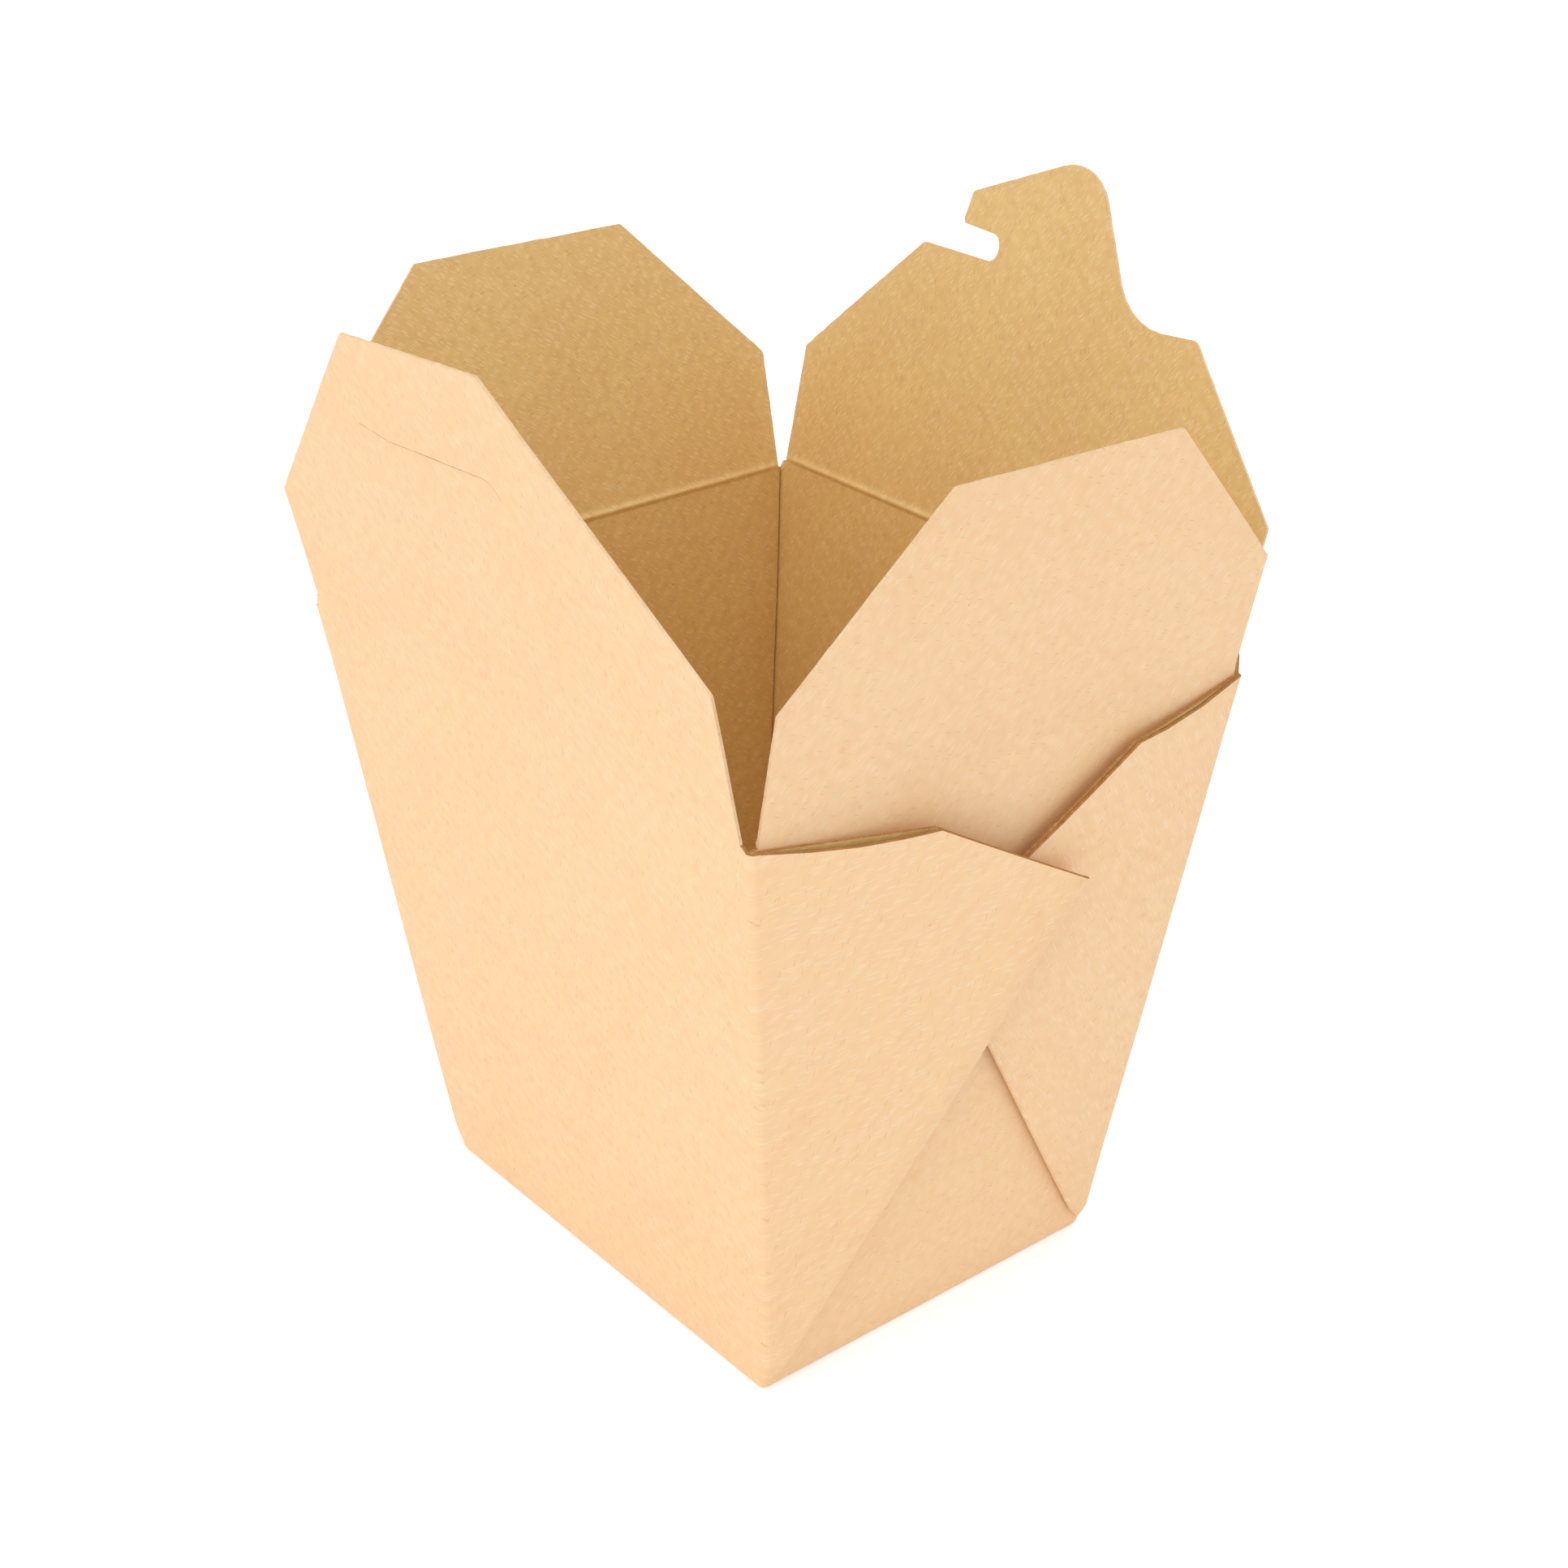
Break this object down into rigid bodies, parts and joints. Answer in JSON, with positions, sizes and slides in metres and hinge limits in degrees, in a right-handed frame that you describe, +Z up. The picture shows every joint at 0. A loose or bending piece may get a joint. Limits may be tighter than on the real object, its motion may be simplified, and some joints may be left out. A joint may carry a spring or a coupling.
{
  "type": "takeaway box",
  "caption": "Open takeaway box folded from one sheet of kraft board, with glued corner gussets and hinged lid flaps that lock with a hook and slit.",
  "frame": {"origin": "centre of the underside of the base", "axes": "+Z up out of the mouth; X along the base's long side; the front wall, whose flap has the slit, faces -Y; the walls that carry the gussets face +X and -X"},
  "size_m": [0.1243, 0.1178, 0.1603],
  "materials": {
    "kraft_board": "smooth uncoated kraft board, pale outside and golden brown inside"
  },
  "bodies": {
    "carton": {"carton": "kraft_board"},
    "front_flap": {"front_flap": "kraft_board"},
    "right_flap": {"right_flap": "kraft_board"},
    "back_flap": {"back_flap": "kraft_board"},
    "left_flap": {"left_flap": "kraft_board"}
  },
  "joints": [
    {"name": "front_crease", "type": "hinge", "parent": "carton", "child": "front_flap", "pos_m": [0, -0.04568, 0.101], "axis": [-1, 0, 0], "range_deg": [-77.4, 102.6]},
    {"name": "right_crease", "type": "hinge", "parent": "carton", "child": "right_flap", "pos_m": [0.05179, 0, 0.1003], "axis": [0, -1, 0], "range_deg": [-78.5, 101.5]},
    {"name": "back_crease", "type": "hinge", "parent": "carton", "child": "back_flap", "pos_m": [0, 0.04577, 0.1017], "axis": [1, 0, 0], "range_deg": [-76.7, 103.3]},
    {"name": "left_crease", "type": "hinge", "parent": "carton", "child": "left_flap", "pos_m": [-0.05179, 0, 0.1003], "axis": [0, 1, 0], "range_deg": [-75.9, 104.1]}
  ]
}
